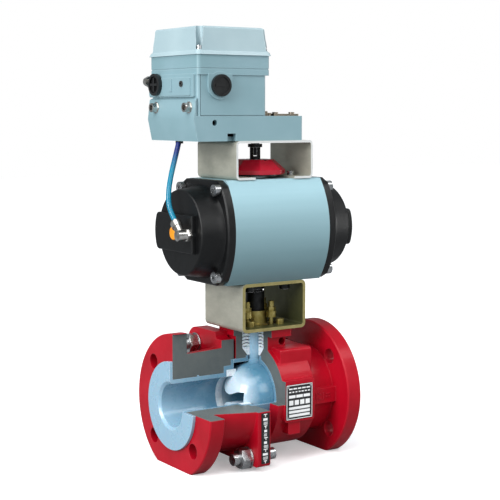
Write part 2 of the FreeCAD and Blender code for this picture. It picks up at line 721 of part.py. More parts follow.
def elbow_fitting():
    c = elbow_centre()
    body = join(rod_x(5.9, -CAP_BOSS_X, -99, PORT_Y, ACT_Z),
                hexagon(13, V(-CAP_BOSS_X - 5, PORT_Y, ACT_Z), X, 5),
                rod_x(4.6, ELBOW_X, -CAP_BOSS_X - 4, PORT_Y, ACT_Z),
                rod_x(6.2, ELBOW_X - 6, ELBOW_X + 6, PORT_Y, ACT_Z),
                rod(5.2, c, ELBOW_WAY, ELBOW_ARM))
    return less(body, rod(3.1, c + ELBOW_WAY * (ELBOW_ARM - 3), ELBOW_WAY, 10), rod_x(2.5, ELBOW_X, -98, PORT_Y, ACT_Z))


def tube_nut():
    start = elbow_centre() + ELBOW_WAY * ELBOW_ARM
    nut = join(rod(6.3, start, ELBOW_WAY, 6.5), rod(5.2, start + ELBOW_WAY * 6.5, ELBOW_WAY, 1.5))
    nut = nut.makeFillet(0.4, [e for e in nut.Edges if isinstance(e.Curve, Part.Circle)][:1])
    return less(nut, rod(3.1, start - ELBOW_WAY, ELBOW_WAY, 12))


TUBE_R = 3.0
TUBE_ROUTE = [elbow_centre() + ELBOW_WAY * 10, elbow_centre() + ELBOW_WAY * 25, V(-120.5, -6.3, 230.5),
              V(-118.3, -3.0, 248.0), V(-112.2, 1.0, 266.0), V(-104.5, 5.0, 284.5), V(-96.5, 9.8, 303.0)]


def air_tube():
    return tube_along(TUBE_ROUTE, TUBE_R)


# ---------------------------------------------------------------- upper bracket and indicator

def upper_bracket():
    outer = soften(box(-UP_X, UP_X, -UP_Y, UP_Y, UP_BOTTOM, UP_TOP), 5, Y)
    hollow = soften(box(-UP_X + UP_WALL, UP_X - UP_WALL, -UP_Y - 1, UP_Y + 1,
                        UP_BOTTOM + UP_WALL, UP_TOP - UP_WALL), 2.4, Y)
    gap = box(-UP_GAP, UP_GAP, -UP_Y - 1, UP_Y + 1, UP_BOTTOM - 1, UP_BOTTOM + UP_WALL + 1)
    tools = [rod_z(2.75, UP_BOTTOM - 1, UP_BOTTOM + 5, x, y) for x, y in corners(TOP_HOLE_X, TOP_HOLE_Y)]
    return less(outer, hollow, gap, rod_z(14, UP_TOP - 5, UP_TOP + 1), *tools)


def upper_bracket_screws():
    return group([cap_screw(2.5, 4.25, V(x, y, UP_BOTTOM + UP_WALL), -Z, 11)
                  for x, y in corners(TOP_HOLE_X, TOP_HOLE_Y)])


def position_indicator():
    low = 262.6
    rim = 267.4
    top = 279.4
    rings = []
    for radius, z in ((36.0, low), (36.4, rim), (22.6, top)):
        ring = [V(radius * math.cos(math.radians(22.5 + 45 * k)), radius * math.sin(math.radians(22.5 + 45 * k)), z)
                for k in range(8)]
        rings.append(Part.makePolygon(ring + [ring[0]]))
    shell = join(Part.makeLoft(rings[:2], True, True), Part.makeLoft(rings[1:], True, True))
    shell = soften_corners(shell, 2.5)
    slots = [box(-1.6, 1.6, 15, 26, top - 1.2, top + 1), box(-1.6, 1.6, -26, -15, top - 1.2, top + 1)]
    return less(shell, rod_z(9.05, low - 1, 276), rod_z(3.1, low, top + 1), *slots)


def soften_corners(shape, radius):
    """Round the eight slanting corners and the rim of the indicator."""
    slanting = [e for e in shape.Edges if abs(e.Vertexes[0].Point.z - e.Vertexes[-1].Point.z) > 1]
    return shape.makeFillet(radius, slanting)


def indicator_disc():
    return less(rod_z(29, 260.6, 262.5), rod_z(9.05, 259, 264), rod_z(13, 259, 260.8))


def fork_slot(z0, z1, width, reach=12.0):
    slot = box(-width / 2, width / 2, -reach, reach, z0, z1)
    slot.rotate(V(0, 0, 0), Z, -33)
    return slot


def feedback_fork():
    body = join(rod_z(6.2, 279.4, 293.4), rod_z(3, 265, 280))
    return less(body, fork_slot(283, 294, 4.0))


def positioner_shaft():
    tongue = fork_slot(284, 294, 3.8, 5.5)
    collar = rod_z(8.4, 293.6, 297.4)
    return join(tongue, collar, rod_z(5, 297, 322))


# ---------------------------------------------------------------- positioner

def positioner_base():
    profile = [V(BASE_LEFT + 5, SIDE_FRONT, UP_TOP), V(BASE_RIGHT, SIDE_FRONT, UP_TOP),
               V(BASE_RIGHT, SIDE_FRONT, BASE_TOP), V(HOUSE_LEFT, SIDE_FRONT, BASE_TOP),
               V(HOUSE_LEFT, SIDE_FRONT, 350), V(HOUSE_LEFT - 2.5, SIDE_FRONT, 348),
               V(BASE_LEFT, SIDE_FRONT, 326)]
    body = polygon(profile).extrude(V(0, SIDE_REAR - SIDE_FRONT, 0))
    body = body.makeFillet(3, edges_along(body, Z))
    cavity = box(HOUSE_LEFT + 5, HOUSE_RIGHT - 4, SIDE_FRONT + 6, SIDE_REAR - 6, UP_TOP + 5, BASE_TOP + 1)
    tools = [cavity, box(-63.5, -52, SIDE_FRONT - 1, SIDE_FRONT + 10, UP_TOP - 1, UP_TOP + 8.5),
             rod_y(3.4, SIDE_FRONT - 1, SIDE_FRONT + 8, -80, 322.4),
             rod_z(5.06, UP_TOP - 1, BASE_TOP + 1), rod_z(9, UP_TOP - 1, UP_TOP + 1),
             rod_z(4.5, UP_TOP - 1, UP_TOP + 6, TUBE_ROUTE[-1].x, TUBE_ROUTE[-1].y)]
    tools += [rod_x(3, BASE_LEFT - 1, HOUSE_LEFT + 6, y, AIR_PORT_Z) for y in AIR_PORT_YS]
    return less(body, *tools)


def positioner_housing():
    wall = soften(box(HOUSE_LEFT, HOUSE_RIGHT, SIDE_FRONT, SIDE_REAR, BASE_TOP, HOUSE_TOP), 4, Z)
    band = soften(box(HOUSE_LEFT - 0.6, HOUSE_RIGHT + 4, SIDE_FRONT - 1.6, SIDE_REAR + 1.6, HOUSE_TOP, BAND_TOP), 4, Z)
    groove = less(box(-130, 20, -60, 90, 381.8, 383), soften(box(HOUSE_LEFT, HOUSE_RIGHT + 3.4, SIDE_FRONT - 1,
                                                            SIDE_REAR + 1, 380, 385), 4, Z))
    side_plate = soften(box(HOUSE_LEFT - 3, HOUSE_LEFT + 1, -36, SIDE_REAR - 1, 351, HOUSE_TOP + 1), 1.5, X)
    inner_plate = soften(box(HOUSE_LEFT - 4.2, HOUSE_LEFT, -30, SIDE_REAR - 2, 352.5, HOUSE_TOP - 3), 1.5, X)
    boss = join(rod_y(15.5, SIDE_FRONT - 2.4, SIDE_FRONT + 2, -74, 363.6),
                box(-89.5, -58.5, SIDE_FRONT - 2.4, SIDE_FRONT + 2, 363.6, HOUSE_TOP + 1))
    relief = join(box(HOUSE_LEFT - 5.2, HOUSE_LEFT - 4, 9, 11.5, 359, 371),
                  box(HOUSE_LEFT - 5.2, HOUSE_LEFT - 4, 9, 15, 357.5, 360))
    cavity = soften(box(HOUSE_LEFT + WALL, HOUSE_RIGHT - WALL, SIDE_FRONT + WALL, SIDE_REAR - WALL,
                        BASE_TOP - 1, BAND_TOP + 1), 2, Z)
    tools = [cavity, groove, rod_y(10, SIDE_FRONT - 4, SIDE_FRONT + 6, -74, 363.6),
             rod_x(10, HOUSE_LEFT - 6, HOUSE_LEFT + 6, 44, 365.4),
             rod_x(2.5, HOUSE_LEFT - 6, HOUSE_LEFT + 6, -12, 365.4),
             rod_y(4, SIDE_REAR - 6, SIDE_REAR + 3, REAR_X, REAR_Z),
             box(HOUSE_LEFT + 4, HOUSE_RIGHT + 1, SIDE_FRONT - 1, SIDE_FRONT + 1.5, BASE_TOP - 1, BASE_TOP + 1),
             box(HOUSE_LEFT + 3, HOUSE_LEFT + 4, SIDE_FRONT - 1, SIDE_FRONT + 1.5, BASE_TOP - 1, HOUSE_TOP)]
    tools += [rod_x(3, HOUSE_LEFT - 1, HOUSE_LEFT + WALL + 1, y, AIR_PORT_Z) for y in AIR_PORT_YS]
    return less(join(wall, band, side_plate, inner_plate, boss, relief), *tools)


def lid_outline(inset, z, corner=5.0):
    x0 = HOUSE_LEFT - 2.6 + inset
    x1 = HOUSE_RIGHT + 6 - inset
    y0 = SIDE_FRONT - 3.6 + inset
    y1 = SIDE_REAR + 3.6 - inset
    shape = soften(box(x0, x1, y0, y1, z, z + 1), corner, Z)
    rim = [e for e in shape.Edges if abs(e.BoundBox.ZMin - z) < 0.001 and abs(e.BoundBox.ZMax - z) < 0.001]
    return Part.Wire(Part.__sortEdges__(rim))


def lid_screw_places():
    x0 = HOUSE_LEFT + 5
    x1 = HOUSE_RIGHT - 1.5
    y0 = SIDE_FRONT + 4
    y1 = SIDE_REAR - 4
    return [(x0, y0), (x0, y1), (x1, y0), (x1, y1)]


def positioner_lid():
    lip = Part.makeLoft([lid_outline(0, BAND_TOP), lid_outline(1.6, LIP_TOP)], True, True)
    crown = Part.makeLoft([lid_outline(2.6, LIP_TOP), lid_outline(4.6, LID_TOP)], True, True)
    crown = crown.makeFillet(2.5, [e for e in crown.Edges if abs(e.CenterOfMass.z - LID_TOP) < 0.01])
    body = join(lip, crown)
    inside = Part.makeLoft([lid_outline(7, BAND_TOP - 1), lid_outline(8.8, LID_TOP - 4)], True, True)
    recesses = []
    for x, y in lid_screw_places():
        turn = math.degrees(math.atan2(y - LID_MIDDLE_Y, x - LID_MIDDLE_X))
        side = 45 + 90 * math.floor(turn / 90)
        way_out = box(0, 16, -3.2, 3.2, LIP_TOP + 1.4, LID_TOP + 1)
        way_out.rotate(V(0, 0, 0), Z, side)
        way_out.translate(V(x, y, 0))
        recesses.append(join(rod_z(4.2, LIP_TOP + 1.4, LID_TOP + 1, x, y), way_out))
        recesses.append(rod_z(2.2, BAND_TOP - 1, LIP_TOP + 3, x, y))
    pillars = [rod_z(8.3, BAND_TOP, LID_TOP - 3, x, y) for x, y in lid_screw_places()]
    return less(less(body, less(inside, *pillars)), *recesses)


def lid_screws():
    return group([cap_screw(2, 3.6, V(x, y, LIP_TOP + 1.4), -Z, 4) for x, y in lid_screw_places()])


def circuit_board():
    board = box(-94, -20, -30, 54, 384, 385.6)
    chips = [box(-80 + 22 * k, -66 + 22 * k, -10 + 14 * k, 4 + 14 * k, 385.6, 388) for k in range(3)]
    posts = [rod_z(3, BASE_TOP - 2, 384, x, y) for x in (-88, -26) for y in (-24, 48)]
    return group([join(board, *chips, *posts)])


def pilot_valve():
    block = soften(box(-72, -42, 0, 40, BASE_TOP - 20, 362), 2, Z)
    coil = rod_z(12, 361, 380, -57, 20)
    return join(block, coil)


def cable_gland():
    x = HOUSE_LEFT - 4.2
    body = join(rod_x(9.9, x, x + 10, 44, 365.4), rod_x(12.6, x - 4.5, x, 44, 365.4))
    dish = rod_x(9.6, x - 5, x - 2.5, 44, 365.4)
    cross = join(box(x - 4.4, x - 2.4, 36, 52, 364, 366.8), box(x - 4.4, x - 2.4, 42.6, 45.4, 357.6, 373.2))
    return join(less(body, dish), cross)


def blank_plug():
    y = SIDE_FRONT - 2.4
    body = join(rod_y(9.9, y, y + 7, -74, 363.6), rod_y(12.2, y - 4, y, -74, 363.6))
    dish = rod_y(9.4, y - 5, y - 2.8, -74, 363.6)
    return join(less(body, dish), box(-82, -66, y - 3.6, y - 2.6, 362.2, 365))


def air_ports():
    ports = []
    z = AIR_PORT_Z
    wall = BASE_LEFT + 1.6
    for y in AIR_PORT_YS:
        flange_ring = rod_x(6.5, wall - 1, wall + 1, y, z)
        spigot = rod_x(2.9, wall, HOUSE_LEFT + 4, y, z)
        fitting = join(hexagon(10, V(wall - 6.5, y, z), X, 6), rod_x(5.2, wall - 7.5, wall - 6, y, z), flange_ring)
        fitting = less(fitting, positioner_base(), rod_x(PORT_R, wall - 8, wall - 1, y, z))
        ports.append(join(fitting, spigot))
    return group(ports)


def rear_fitting():
    y = SIDE_REAR
    fitting = join(rod_y(5.2, y, y + 5, REAR_X, REAR_Z), rod_y(4.2, y + 4, y + 17, REAR_X, REAR_Z),
                   hexagon(11, V(REAR_X, y + 16, REAR_Z), Y, 6), rod_y(5.2, y + 21, y + 24, REAR_X, REAR_Z),
                   rod_y(3.95, y - 5, y + 1, REAR_X, REAR_Z))
    return less(fitting, rod_y(2.8, y + 10, y + 25, REAR_X, REAR_Z))


def seal_screw():
    x = HOUSE_LEFT - 4.2
    head = join(rod_x(3.4, x - 1.2, x, -12, 365.4), rod_x(2.4, x, x + 8, -12, 365.4))
    return less(head, hexagon(3, V(x - 1.3, -12, 365.4), X, 1.5))


def clamp_plate():
    plate = soften(box(3, 37.5, -36, 60, BASE_TOP, BASE_TOP + 2.4), 2, Z)
    block = soften(box(-10.6, -5, -34, 20, BASE_TOP, BASE_TOP + 5.5), 1, Z)
    heads = [rod_z(3.4, BASE_TOP + 2.4, BASE_TOP + 4.4, x, y) for x in (9, 32) for y in (-28, 52)]
    bolt = join(rod_z(3.2, BASE_TOP, BASE_TOP + 3.6, -1, -30), rod_z(3.2, BASE_TOP, BASE_TOP + 3.6, -1, -16))
    return group([join(plate, *heads), block] + bolt.Solids)


def tube_outlet():
    end = TUBE_ROUTE[-1]
    way = V(TUBE_ROUTE[-1] - TUBE_ROUTE[-2]).normalize()
    body = rod_z(4.4, UP_TOP - 3, UP_TOP + 5, end.x, end.y)
    return less(body, rod(3.05, end - way * 12, way, 13))


NODES = {
    "main_body": main_body, "outlet_neck": outlet_neck, "tail_body": tail_body, "body_liner": body_liner, "tail_liner": tail_liner,
    "ball_and_stem": ball_and_stem, "seat_ring_left": lambda: seat_ring(-1), "seat_ring_right": lambda: seat_ring(1),
    "packing_base_ring": packing_base_ring, "packing_rings": packing_rings, "gland_follower": gland_follower,
    "gland_studs": gland_studs, "gland_nuts": gland_nuts, "joint_studs": joint_studs, "joint_nuts": joint_nuts,
    "name_plate": name_plate, "plate_rivets": plate_rivets, "label_strip": label_strip,
    "lower_bracket": lower_bracket, "drive_coupling": drive_coupling,
    "bracket_valve_screws": bracket_valve_screws, "bracket_actuator_screws": bracket_actuator_screws,
    "barrel": barrel, "cap_left": cap_left, "cap_right": cap_right, "cap_screws": cap_screws,
    "cap_gaskets": cap_gaskets, "pinion": pinion, "pinion_bushes": pinion_bushes, "pinion_clip": pinion_clip,
    "piston_left": piston_left, "piston_right": lambda: half_turn(piston_left()),
    "piston_ring_left": piston_ring_left, "piston_ring_right": lambda: half_turn(piston_ring_left()),
    "spring_left": spring_left, "spring_right": lambda: half_turn(spring_left()),
    "stop_screws": stop_screws, "cap_plugs": cap_plugs, "elbow_fitting": elbow_fitting, "tube_nut": tube_nut,
    "air_tube": air_tube, "upper_bracket": upper_bracket, "upper_bracket_screws": upper_bracket_screws,
    "position_indicator": position_indicator, "indicator_disc": indicator_disc, "feedback_fork": feedback_fork,
    "positioner_shaft": positioner_shaft, "positioner_base": positioner_base,
    "positioner_housing": positioner_housing, "positioner_lid": positioner_lid, "lid_screws": lid_screws,
    "circuit_board": circuit_board, "pilot_valve": pilot_valve, "cable_gland": cable_gland,
    "blank_plug": blank_plug, "air_ports": air_ports, "rear_fitting": rear_fitting, "seal_screw": seal_screw,
    "clamp_plate": clamp_plate, "tube_outlet": tube_outlet,
}

os.makedirs("parts", exist_ok=True)
for name, build in NODES.items():
    shape = build()
    print(name, len(shape.Solids), "valid" if shape.isValid() else "INVALID", round(shape.Volume / 1000, 2))
    shape.exportStep("parts/" + name + ".step")
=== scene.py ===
import json
import math
import random

import bmesh
import bpy
from mathutils import Matrix, Vector


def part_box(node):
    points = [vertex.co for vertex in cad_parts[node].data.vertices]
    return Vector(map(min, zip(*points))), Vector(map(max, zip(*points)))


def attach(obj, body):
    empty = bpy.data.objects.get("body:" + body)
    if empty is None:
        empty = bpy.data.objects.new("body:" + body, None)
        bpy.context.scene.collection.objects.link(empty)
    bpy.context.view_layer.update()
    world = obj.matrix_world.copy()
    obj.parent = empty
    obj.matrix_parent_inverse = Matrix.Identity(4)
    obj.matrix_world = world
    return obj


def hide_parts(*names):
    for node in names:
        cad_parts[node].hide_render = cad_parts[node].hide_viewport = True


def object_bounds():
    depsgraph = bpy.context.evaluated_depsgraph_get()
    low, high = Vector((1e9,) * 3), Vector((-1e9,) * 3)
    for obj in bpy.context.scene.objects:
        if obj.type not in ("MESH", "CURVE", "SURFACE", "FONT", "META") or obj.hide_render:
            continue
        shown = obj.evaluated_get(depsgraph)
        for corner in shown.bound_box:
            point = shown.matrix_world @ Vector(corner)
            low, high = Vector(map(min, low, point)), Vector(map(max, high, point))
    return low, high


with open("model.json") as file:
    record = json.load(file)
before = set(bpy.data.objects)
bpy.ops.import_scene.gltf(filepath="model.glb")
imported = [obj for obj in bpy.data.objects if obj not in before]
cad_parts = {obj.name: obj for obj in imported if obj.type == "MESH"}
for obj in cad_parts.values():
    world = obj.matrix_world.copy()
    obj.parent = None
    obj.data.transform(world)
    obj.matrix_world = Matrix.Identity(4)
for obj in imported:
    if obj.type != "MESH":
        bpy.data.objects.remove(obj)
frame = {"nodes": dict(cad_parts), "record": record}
cad_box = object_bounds()
NODES = frame["nodes"]
SLOT_OF = {part["node"]: part["material_slot"] for part in frame["record"]["subparts"]}
MM = 0.001

# A quarter-turn pneumatic actuator with a positioner on top and a cut-open, lined ball valve below. The
# origin is where the pipe's axis, along X, crosses the stem's axis, along Z. The cut side faces -Y.

# ------------------------------------------------------------------ camera, stage and light

CAMERA_TURN = math.radians(33.4)
CAMERA_DOWN = math.radians(6.23)
CAMERA_DISTANCE = 1.494
CAMERA_LENS = 91.0
FILM_WIDTH = 36
AIM = Vector((-0.0037, 0.0051, 0.1722))

FLOOR_REACH = 6.0
PALE = (0.93, 0.935, 0.94, 1)
FLOOR_GLOW = 0.32
FLOOR_ROUGHNESS = 0.9
FLOOR_BOUNCE = (0.3, 0.31, 0.32, 1)
WORLD_TINT = (0.93, 0.97, 1.0, 1)
WORLD_STRENGTH = 0.36
WHITE = (1, 1, 1, 1)

SUN_PLACE = (-0.8, -0.35, 2.0)
SUN_STRENGTH = 2.0
SUN_SPREAD = math.radians(55)
# Each lamp's name, place, width and height in metres, and watts.
LAMPS = [("key", (-2.2, -0.55, 0.95), (1.0, 1.2), 52),
         ("front", (-0.1, -2.3, 1.3), (1.3, 1.3), 19),
         ("top_right", (1.1, -1.05, 1.5), (0.9, 0.5), 7),
         ("right_rim", (1.6, -0.75, 0.25), (0.3, 0.9), 8)]


def look_at(obj, target):
    obj.rotation_euler = (target - obj.location).to_track_quat("-Z", "Y").to_euler()


def make_camera():
    data = bpy.data.cameras.new("camera")
    data.lens = CAMERA_LENS
    data.sensor_width = FILM_WIDTH
    camera = bpy.data.objects.new("camera", data)
    way = Vector((math.sin(CAMERA_TURN) * math.cos(CAMERA_DOWN),
                  math.cos(CAMERA_TURN) * math.cos(CAMERA_DOWN),
                  -math.sin(CAMERA_DOWN)))
    camera.location = AIM - way * CAMERA_DISTANCE
    look_at(camera, AIM)
    bpy.context.scene.collection.objects.link(camera)
    bpy.context.scene.camera = camera


def add_light(name, data, place):
    light = bpy.data.objects.new(name, data)
    light.location = place
    look_at(light, AIM)
    bpy.context.scene.collection.objects.link(light)


def area_light(name, place, size, power):
    data = bpy.data.lights.new(name, "AREA")
    data.shape = "RECTANGLE"
    data.size, data.size_y = size
    data.energy = power
    add_light(name, data, place)


def camera_sees(tree, lit, seen, output):
    """The camera sees one shader, and the light that falls on the object comes from the other."""
    path = tree.nodes.new("ShaderNodeLightPath")
    blend = tree.nodes.new("ShaderNodeMixShader")
    tree.links.new(path.outputs["Is Camera Ray"], blend.inputs[0])
    tree.links.new(lit, blend.inputs[1])
    tree.links.new(seen, blend.inputs[2])
    tree.links.new(blend.outputs[0], output)


def make_floor():
    floor_z = cad_box[0][2]
    mesh = bpy.data.meshes.new("floor")
    mesh.from_pydata([(-FLOOR_REACH, -FLOOR_REACH, floor_z), (FLOOR_REACH, -FLOOR_REACH, floor_z),
                      (FLOOR_REACH, FLOOR_REACH, floor_z), (-FLOOR_REACH, FLOOR_REACH, floor_z)],
                     [], [(0, 1, 2, 3)])
    floor = bpy.data.objects.new("floor", mesh)
    bpy.context.scene.collection.objects.link(floor)
    paint = bpy.data.materials.new("floor_paint")
    paint.use_nodes = True
    shader = paint.node_tree.nodes["Principled BSDF"]
    shader.inputs["Base Color"].default_value = PALE
    shader.inputs["Roughness"].default_value = FLOOR_ROUGHNESS
    shader.inputs["Emission Color"].default_value = PALE
    shader.inputs["Emission Strength"].default_value = FLOOR_GLOW
    bounce = paint.node_tree.nodes.new("ShaderNodeBsdfDiffuse")
    bounce.inputs["Color"].default_value = FLOOR_BOUNCE
    camera_sees(paint.node_tree, bounce.outputs[0], shader.outputs[0],
                paint.node_tree.nodes["Material Output"].inputs["Surface"])
    mesh.materials.append(paint)


def make_world():
    world = bpy.data.worlds.new("studio")
    world.use_nodes = True
    tree = world.node_tree
    background = tree.nodes["Background"]
    background.inputs["Color"].default_value = WORLD_TINT
    background.inputs["Strength"].default_value = WORLD_STRENGTH
    white = tree.nodes.new("ShaderNodeBackground")
    white.inputs["Color"].default_value = WHITE
    white.inputs["Strength"].default_value = 1.0
    camera_sees(tree, background.outputs[0], white.outputs[0], tree.nodes["World Output"].inputs["Surface"])
    bpy.context.scene.world = world
    bpy.context.scene.view_settings.view_transform = "Standard"


def make_lights():
    sky = bpy.data.lights.new("overhead", "SUN")
    sky.energy = SUN_STRENGTH
    sky.angle = SUN_SPREAD
    add_light("overhead", sky, SUN_PLACE)
    for lamp in LAMPS:
        area_light(*lamp)


# ------------------------------------------------------------------ materials

CUT_Z = -0.002
CUT_SKIN = 0.0003
CUT_LINES = 260
CUT_ROUGHNESS = 0.5
SQUARE_ON = (0.97, 0.99)
SUBSURFACE_REACH = 0.004
UPPER_BRACKET_Z = 0.2
LOWER_BRACKET_INSIDE = (0.0405, 0.0847, 0.1354)
BORE_FROM = -0.117
BORE_TO = -0.045
BALL_MOUTH = (-0.016, -0.034)
STEM_FOOT = (0.036, 0.052)
# How far below the tube's top its painted shade starts and ends, in metres.
TUBE_PAINTED_SHADE_SPAN = (0.034, 0.014)
BARREL_SHADE = 0.7


def colour(code):
    """A colour from its usual six-digit code, as the linear values that shaders take."""
    parts = [int(code[k:k + 2], 16) / 255 for k in (0, 2, 4)]
    return tuple(c / 12.92 if c <= 0.04045 else ((c + 0.055) / 1.055) ** 2.4 for c in parts) + (1.0,)


class Look:
    """A procedural material: a principled shader and short calls that add to it."""

    def __init__(self, name, metallic=0.0, coat=0.0, coat_roughness=0.1, specular=0.5, subsurface=0.0):
        self.material = bpy.data.materials.new(name)
        self.material.use_nodes = True
        self.tree = self.material.node_tree
        self.shader = self.tree.nodes["Principled BSDF"]
        self.set("Metallic", metallic)
        self.set("Coat Weight", coat)
        self.set("Coat Roughness", coat_roughness)
        self.set("Specular IOR Level", specular)
        self.set("Subsurface Weight", subsurface)
        self.set("Subsurface Scale", SUBSURFACE_REACH)
        self.place = self.add("ShaderNodeTexCoord").outputs["Object"]
        self.height = None

    def add(self, kind, **values):
        node = self.tree.nodes.new(kind)
        for key, value in values.items():
            setattr(node, key, value)
        return node

    def link(self, source, target):
        self.tree.links.new(source, target)

    def set(self, name, value):
        self.shader.inputs[name].default_value = value

    def stretched(self, scale):
        mapping = self.add("ShaderNodeMapping")
        mapping.inputs["Scale"].default_value = scale
        self.link(self.place, mapping.inputs["Vector"])
        return mapping.outputs["Vector"]

    def noise(self, scale, detail=4.0, rough=0.6, stretch=None):
        node = self.add("ShaderNodeTexNoise")
        node.inputs["Scale"].default_value = scale
        node.inputs["Detail"].default_value = detail
        node.inputs["Roughness"].default_value = rough
        self.link(self.stretched(stretch) if stretch else self.place, node.inputs["Vector"])
        return node.outputs["Fac"]

    def bands(self, scale, axis="Z", distortion=1.5):
        node = self.add("ShaderNodeTexWave", wave_type="BANDS", bands_direction=axis)
        node.inputs["Scale"].default_value = scale
        node.inputs["Distortion"].default_value = distortion
        node.inputs["Detail"].default_value = 3
        node.inputs["Detail Scale"].default_value = 2
        self.link(self.place, node.inputs["Vector"])
        return node.outputs["Fac"]

    def spread(self, value, low, high, out_low=0.0, out_high=1.0):
        node = self.add("ShaderNodeMapRange")
        for key, number in (("From Min", low), ("From Max", high), ("To Min", out_low), ("To Max", out_high)):
            node.inputs[key].default_value = number
        self.link(value, node.inputs["Value"])
        return node.outputs["Result"]

    def mix(self, factor, first, second):
        node = self.add("ShaderNodeMix", data_type="RGBA")
        for socket, value in ((node.inputs[6], first), (node.inputs[7], second)):
            if isinstance(value, tuple):
                socket.default_value = value
            else:
                self.link(value, socket)
        self.link(factor, node.inputs[0])
        return node.outputs[2]

    def axis(self, name):
        node = self.add("ShaderNodeSeparateXYZ")
        self.link(self.place, node.inputs[0])
        return node.outputs[name]

    def rounded(self, width):
        """Softens the shading over every edge, before any bump."""
        bevel = self.add("ShaderNodeBevel", samples=6)
        bevel.inputs["Radius"].default_value = width
        self.height = bevel.outputs["Normal"]
        self.link(self.height, self.shader.inputs["Normal"])

    def edges(self, width, strength=1.0):
        """1 where the surface turns within a short distance, as at an edge. The materials use it to paint a
        lighter highlight along edges.
        """
        bevel = self.add("ShaderNodeBevel", samples=4)
        bevel.inputs["Radius"].default_value = width
        normal = self.add("ShaderNodeNewGeometry").outputs["Normal"]
        dot = self.add("ShaderNodeVectorMath", operation="DOT_PRODUCT")
        self.link(bevel.outputs["Normal"], dot.inputs[0])
        self.link(normal, dot.inputs[1])
        return self.spread(dot.outputs["Value"], 1.0, 0.75, 0.0, strength)

    def planes(self):
        """How squarely the surface faces each axis, whichever way round."""
        normal = self.add("ShaderNodeNewGeometry").outputs["True Normal"]
        size = self.add("ShaderNodeVectorMath", operation="ABSOLUTE")
        self.link(normal, size.inputs[0])
        parts = self.add("ShaderNodeSeparateXYZ")
        self.link(size.outputs[0], parts.inputs[0])
        return parts.outputs

    def maths(self, operation, *values):
        node = self.add("ShaderNodeMath", operation=operation)
        for socket, value in zip(node.inputs, values):
            if isinstance(value, (int, float)):
                socket.default_value = value
            else:
                self.link(value, socket)
        return node.outputs[0]

    def both(self, first, second):
        return self.maths("MULTIPLY", first, second)

    def most(self, first, second):
        return self.maths("MAXIMUM", first, second)

    def above(self, value, limit):
        return self.maths("GREATER_THAN", value, limit)

    def below(self, value, limit):
        return self.maths("LESS_THAN", value, limit)

    def band(self, value, low, high):
        return self.both(self.above(value, low), self.below(value, high))

    def inner(self, half_x, low, high):
        """1 inside a tunnel along Y that is half_x wide each side and runs from low to high."""
        wide = self.below(self.maths("ABSOLUTE", self.axis("X")), half_x)
        return self.both(wide, self.band(self.axis("Z"), low, high))

    def mix_value(self, factor, first, second):
        """A plain number for each of two parts of the surface."""
        rest = self.maths("SUBTRACT", 1.0, factor)
        return self.maths("ADD", self.both(rest, first), self.both(factor, second))

    def base(self, value):
        if isinstance(value, tuple):
            self.set("Base Color", value)
        else:
            self.link(value, self.shader.inputs["Base Color"])

    def roughness(self, low, high, source):
        self.link(self.spread(source, 0.3, 0.7, low, high), self.shader.inputs["Roughness"])

    def bump(self, source, depth, strength=1.0):
        node = self.add("ShaderNodeBump")
        node.inputs["Strength"].default_value = strength
        node.inputs["Distance"].default_value = depth
        self.link(source, node.inputs["Height"])
        if self.height:
            self.link(self.height, node.inputs["Normal"])
        self.height = node.outputs["Normal"]
        self.link(self.height, self.shader.inputs["Normal"])
        return self


def red_paint():
    """Red paint on the castings, and bare sawn iron where the window cuts them."""
    look = Look("red_paint", coat=0.1, coat_roughness=0.12, specular=0.18)
    look.rounded(0.0011)
    cloud = look.noise(18)
    base = look.mix(look.spread(cloud, 0.35, 0.65), colour("9C0519"), colour("AB0A20"))
    scuffs = look.spread(look.noise(260, 8, 0.75), 0.67, 0.72, 0.0, 0.3)
    base = look.mix(scuffs, base, colour("7E0E1E"))
    # Painted highlight: a lighter red along every edge.
    base = look.mix(look.edges(0.0011, 0.45), base, colour("CB3A4C"))
    x, y, z = (look.axis(name) for name in "XYZ")
    side = look.planes()
    on_y = look.both(look.both(look.spread(side["Y"], *SQUARE_ON), look.band(y, -CUT_SKIN, CUT_SKIN)),
                     look.both(look.below(x, CUT_SKIN), look.above(z, CUT_Z - CUT_SKIN)))
    on_x = look.both(look.both(look.spread(side["X"], *SQUARE_ON), look.band(x, -CUT_SKIN, CUT_SKIN)),
                     look.both(look.below(y, CUT_SKIN), look.above(z, CUT_Z - CUT_SKIN)))
    on_z = look.both(look.both(look.spread(side["Z"], *SQUARE_ON),
                               look.band(z, CUT_Z - CUT_SKIN, CUT_Z + CUT_SKIN)),
                     look.both(look.below(x, CUT_SKIN), look.below(y, CUT_SKIN)))
    cut = look.most(look.most(on_x, on_y), on_z)
    lines = look.bands(CUT_LINES, "Z", 1.2)
    iron = look.mix(look.spread(look.noise(45, 6), 0.3, 0.7), colour("474F52"), colour("585E5E"))
    iron = look.mix(look.spread(lines, 0.5, 1.0, 0.0, 0.55), iron, colour("7C817D"))
    look.base(look.mix(cut, base, iron))
    look.link(look.mix_value(cut, look.spread(look.noise(60), 0.3, 0.7, 0.28, 0.42), CUT_ROUGHNESS),
              look.shader.inputs["Roughness"])
    return look.bump(look.noise(120, 6), 0.0005, 0.3).bump(look.noise(900, 3), 0.0001, 0.4).material


def liner_blue():
    look = Look("liner_blue", coat=0.25, subsurface=0.12)
    # Painted shade: the liner darkens along X into the bore.
    inside = look.spread(look.axis("X"), BORE_FROM, BORE_TO)
    base = look.mix(inside, colour("88ABC0"), colour("53819B"))
    base = look.mix(look.spread(look.noise(35, 3), 0.3, 0.7, 0.0, 0.3), base, colour("92B5C9"))
    # Painted highlight: a near-white line along every edge of the liner.
    look.base(look.mix(look.edges(0.001, 0.6), base, colour("E4EFF6")))
    look.roughness(0.22, 0.34, look.noise(80))
    return look.bump(look.noise(260, 4), 0.0002, 0.25).material


